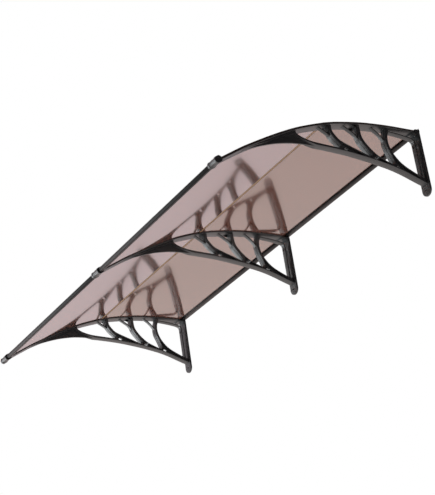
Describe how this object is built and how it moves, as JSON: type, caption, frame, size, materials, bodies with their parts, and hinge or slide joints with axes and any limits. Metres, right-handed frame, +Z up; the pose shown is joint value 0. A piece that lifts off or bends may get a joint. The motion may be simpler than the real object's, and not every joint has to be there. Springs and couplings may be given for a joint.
{
  "type": "door canopy",
  "caption": "Wall-mounted door canopy: moulded arched brackets carry two bronze translucent sheets between slim metal rails.",
  "frame": {"origin": "on the back of the middle bracket's wall plate, halfway up the plate, where it meets the wall", "axes": "+X along the wall, +Y into the wall, +Z up; the canopy reaches out towards -Y"},
  "size_m": [2, 0.977, 0.2853],
  "materials": {
    "black_plastic": "satin black moulded plastic",
    "charcoal_aluminium": "charcoal coated extrusion, satin",
    "bronze_sheet": "bronze translucent sheet, glossy",
    "grey_rubber": "matt grey seal",
    "zinc_steel": "zinc-plated screw"
  },
  "bodies": {
    "root": {"bracket_right": "black_plastic", "cover_strip_right": "black_plastic", "front_sleeve_right": "black_plastic", "cover_screw_right_1": "zinc_steel", "cover_screw_right_2": "zinc_steel", "cover_screw_right_3": "zinc_steel", "cover_screw_right_4": "zinc_steel", "sleeve_screw_right_1": "zinc_steel", "sleeve_screw_right_2": "zinc_steel", "bracket_middle": "black_plastic", "cover_strip_middle": "black_plastic", "front_sleeve_middle": "black_plastic", "cover_screw_middle_1": "zinc_steel", "cover_screw_middle_2": "zinc_steel", "cover_screw_middle_3": "zinc_steel", "cover_screw_middle_4": "zinc_steel", "sleeve_screw_middle_1": "zinc_steel", "sleeve_screw_middle_2": "zinc_steel", "bracket_left": "black_plastic", "cover_strip_left": "black_plastic", "front_sleeve_left": "black_plastic", "cover_screw_left_1": "zinc_steel", "cover_screw_left_2": "zinc_steel", "cover_screw_left_3": "zinc_steel", "cover_screw_left_4": "zinc_steel", "sleeve_screw_left_1": "zinc_steel", "sleeve_screw_left_2": "zinc_steel", "sheet_right": "bronze_sheet", "front_rail_right": "charcoal_aluminium", "rear_rail_right": "charcoal_aluminium", "front_seal_right": "grey_rubber", "wall_seal_right": "grey_rubber", "rear_cap_right": "black_plastic", "sheet_left": "bronze_sheet", "front_rail_left": "charcoal_aluminium", "rear_rail_left": "charcoal_aluminium", "front_seal_left": "grey_rubber", "wall_seal_left": "grey_rubber", "rear_cap_left": "black_plastic"}
  },
  "joints": []
}
